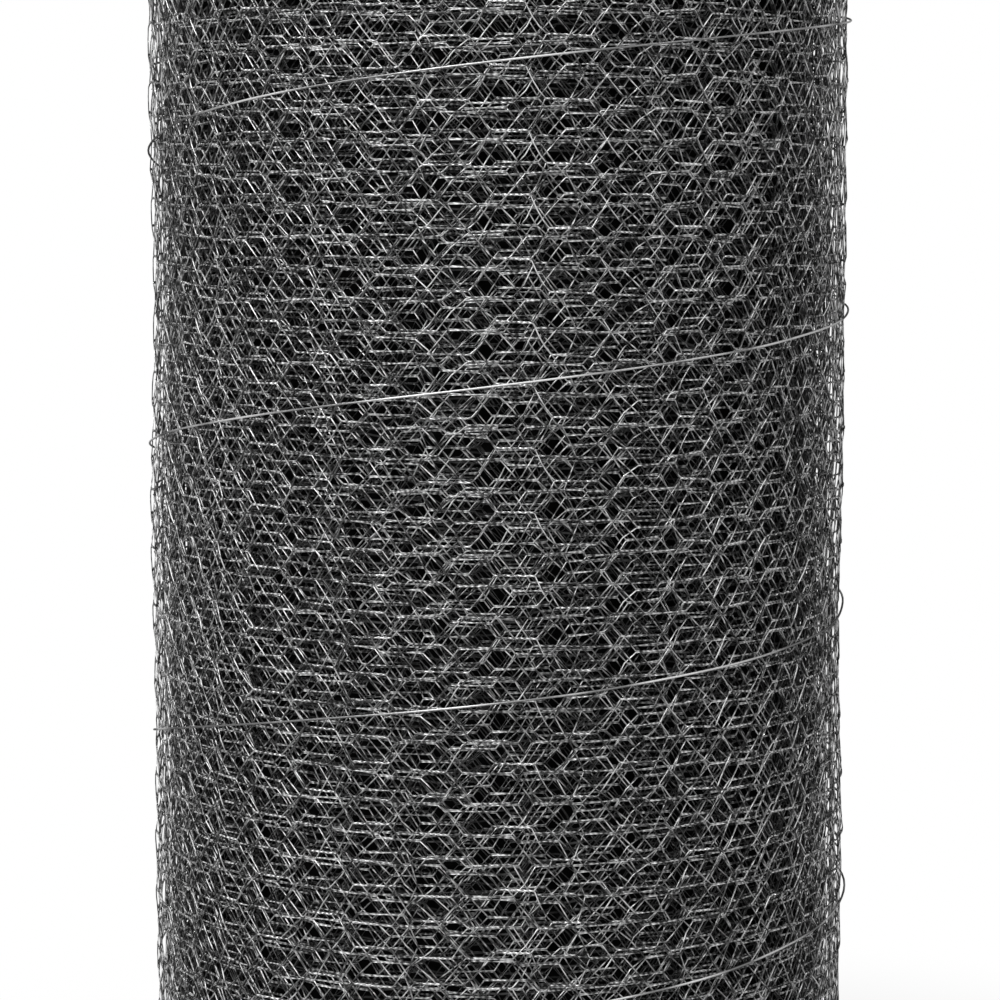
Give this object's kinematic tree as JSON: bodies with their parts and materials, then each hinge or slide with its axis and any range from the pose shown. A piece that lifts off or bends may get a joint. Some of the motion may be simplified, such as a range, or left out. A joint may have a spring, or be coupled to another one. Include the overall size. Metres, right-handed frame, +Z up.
{
  "type": "roll of hexagonal wire netting",
  "caption": "Standing roll of galvanised hexagonal wire netting wound round an open bore, its turns showing on both ends, bound by a wire spiralled round the outside.",
  "frame": {"origin": "middle of the foot, on the roll's axis at floor level", "axes": "+Z up along the roll's axis, -Y is the side that the picture shows, +X to its right"},
  "size_m": [0.3082, 0.3082, 0.6096],
  "materials": {
    "netting_wire": "weathered galvanised wire, dull zinc grey",
    "binding_wire": "smooth galvanised wire, dull zinc grey"
  },
  "bodies": {
    "root": {"netting_roll": "netting_wire", "binding_wire": "binding_wire"}
  },
  "joints": []
}
